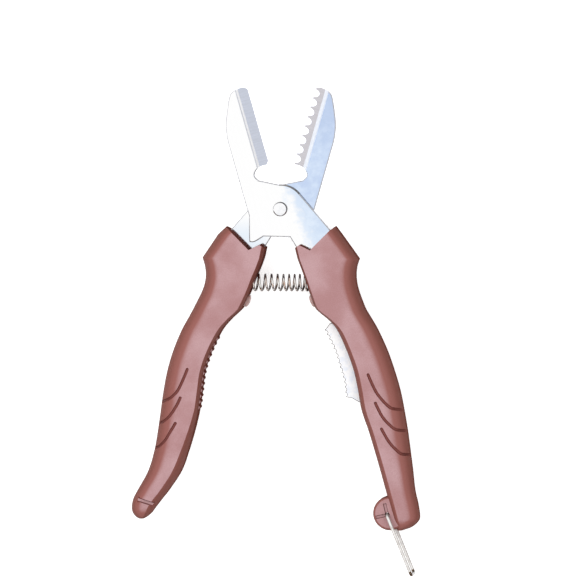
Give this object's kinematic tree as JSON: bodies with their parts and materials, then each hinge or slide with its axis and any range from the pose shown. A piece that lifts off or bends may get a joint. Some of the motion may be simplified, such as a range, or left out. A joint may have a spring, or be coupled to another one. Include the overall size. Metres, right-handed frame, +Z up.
{
  "type": "nut cutter",
  "caption": "Spring-opened hand cutter for nuts, with a plain jaw and a toothed jaw on one pivot, moulded grips, a serrated side blade and a wire bail that latches it shut.",
  "frame": {"origin": "middle of the rectangle that the tool covers on the surface it lies on, at rest", "axes": "+Y from the handle ends towards the jaws, +Z up out of the front faces, +X towards the grip with the side blade"},
  "size_m": [0.1218, 0.205, 0.016],
  "materials": {
    "plate_steel": "satin, ground along the working edges",
    "grip_plastic": "satin dusty reddish brown",
    "bumper_rubber": "matt, pale pinkish",
    "side_steel": "bright satin",
    "wire_steel": "bright plated wire",
    "fastener_steel": "satin"
  },
  "bodies": {
    "right_lever": {"cutting_plate": "plate_steel", "right_grip": "grip_plastic", "right_bumper": "bumper_rubber", "side_blade": "side_steel", "return_spring": "wire_steel", "pivot_bolt": "fastener_steel", "pivot_washer": "fastener_steel", "pivot_nut": "fastener_steel"},
    "left_lever": {"toothed_plate": "plate_steel", "left_grip": "grip_plastic", "left_bumper": "bumper_rubber"},
    "latch_bail": {"latch_bail": "wire_steel"}
  },
  "joints": [
    {"name": "jaws", "type": "hinge", "parent": "right_lever", "child": "left_lever", "pos_m": [0.00213, 0.05155, 0.008], "axis": [0, 0, 1], "range_deg": [0, 35.5], "stiffness_Nm_per_rad": 0.6, "springref_deg": -17.19, "deforming": ["return_spring"]},
    {"name": "latch", "type": "hinge", "parent": "right_lever", "child": "latch_bail", "pos_m": [0.04743, -0.07665, 0.008], "axis": [0, 0, 1], "range_deg": [-185, 30]}
  ]
}
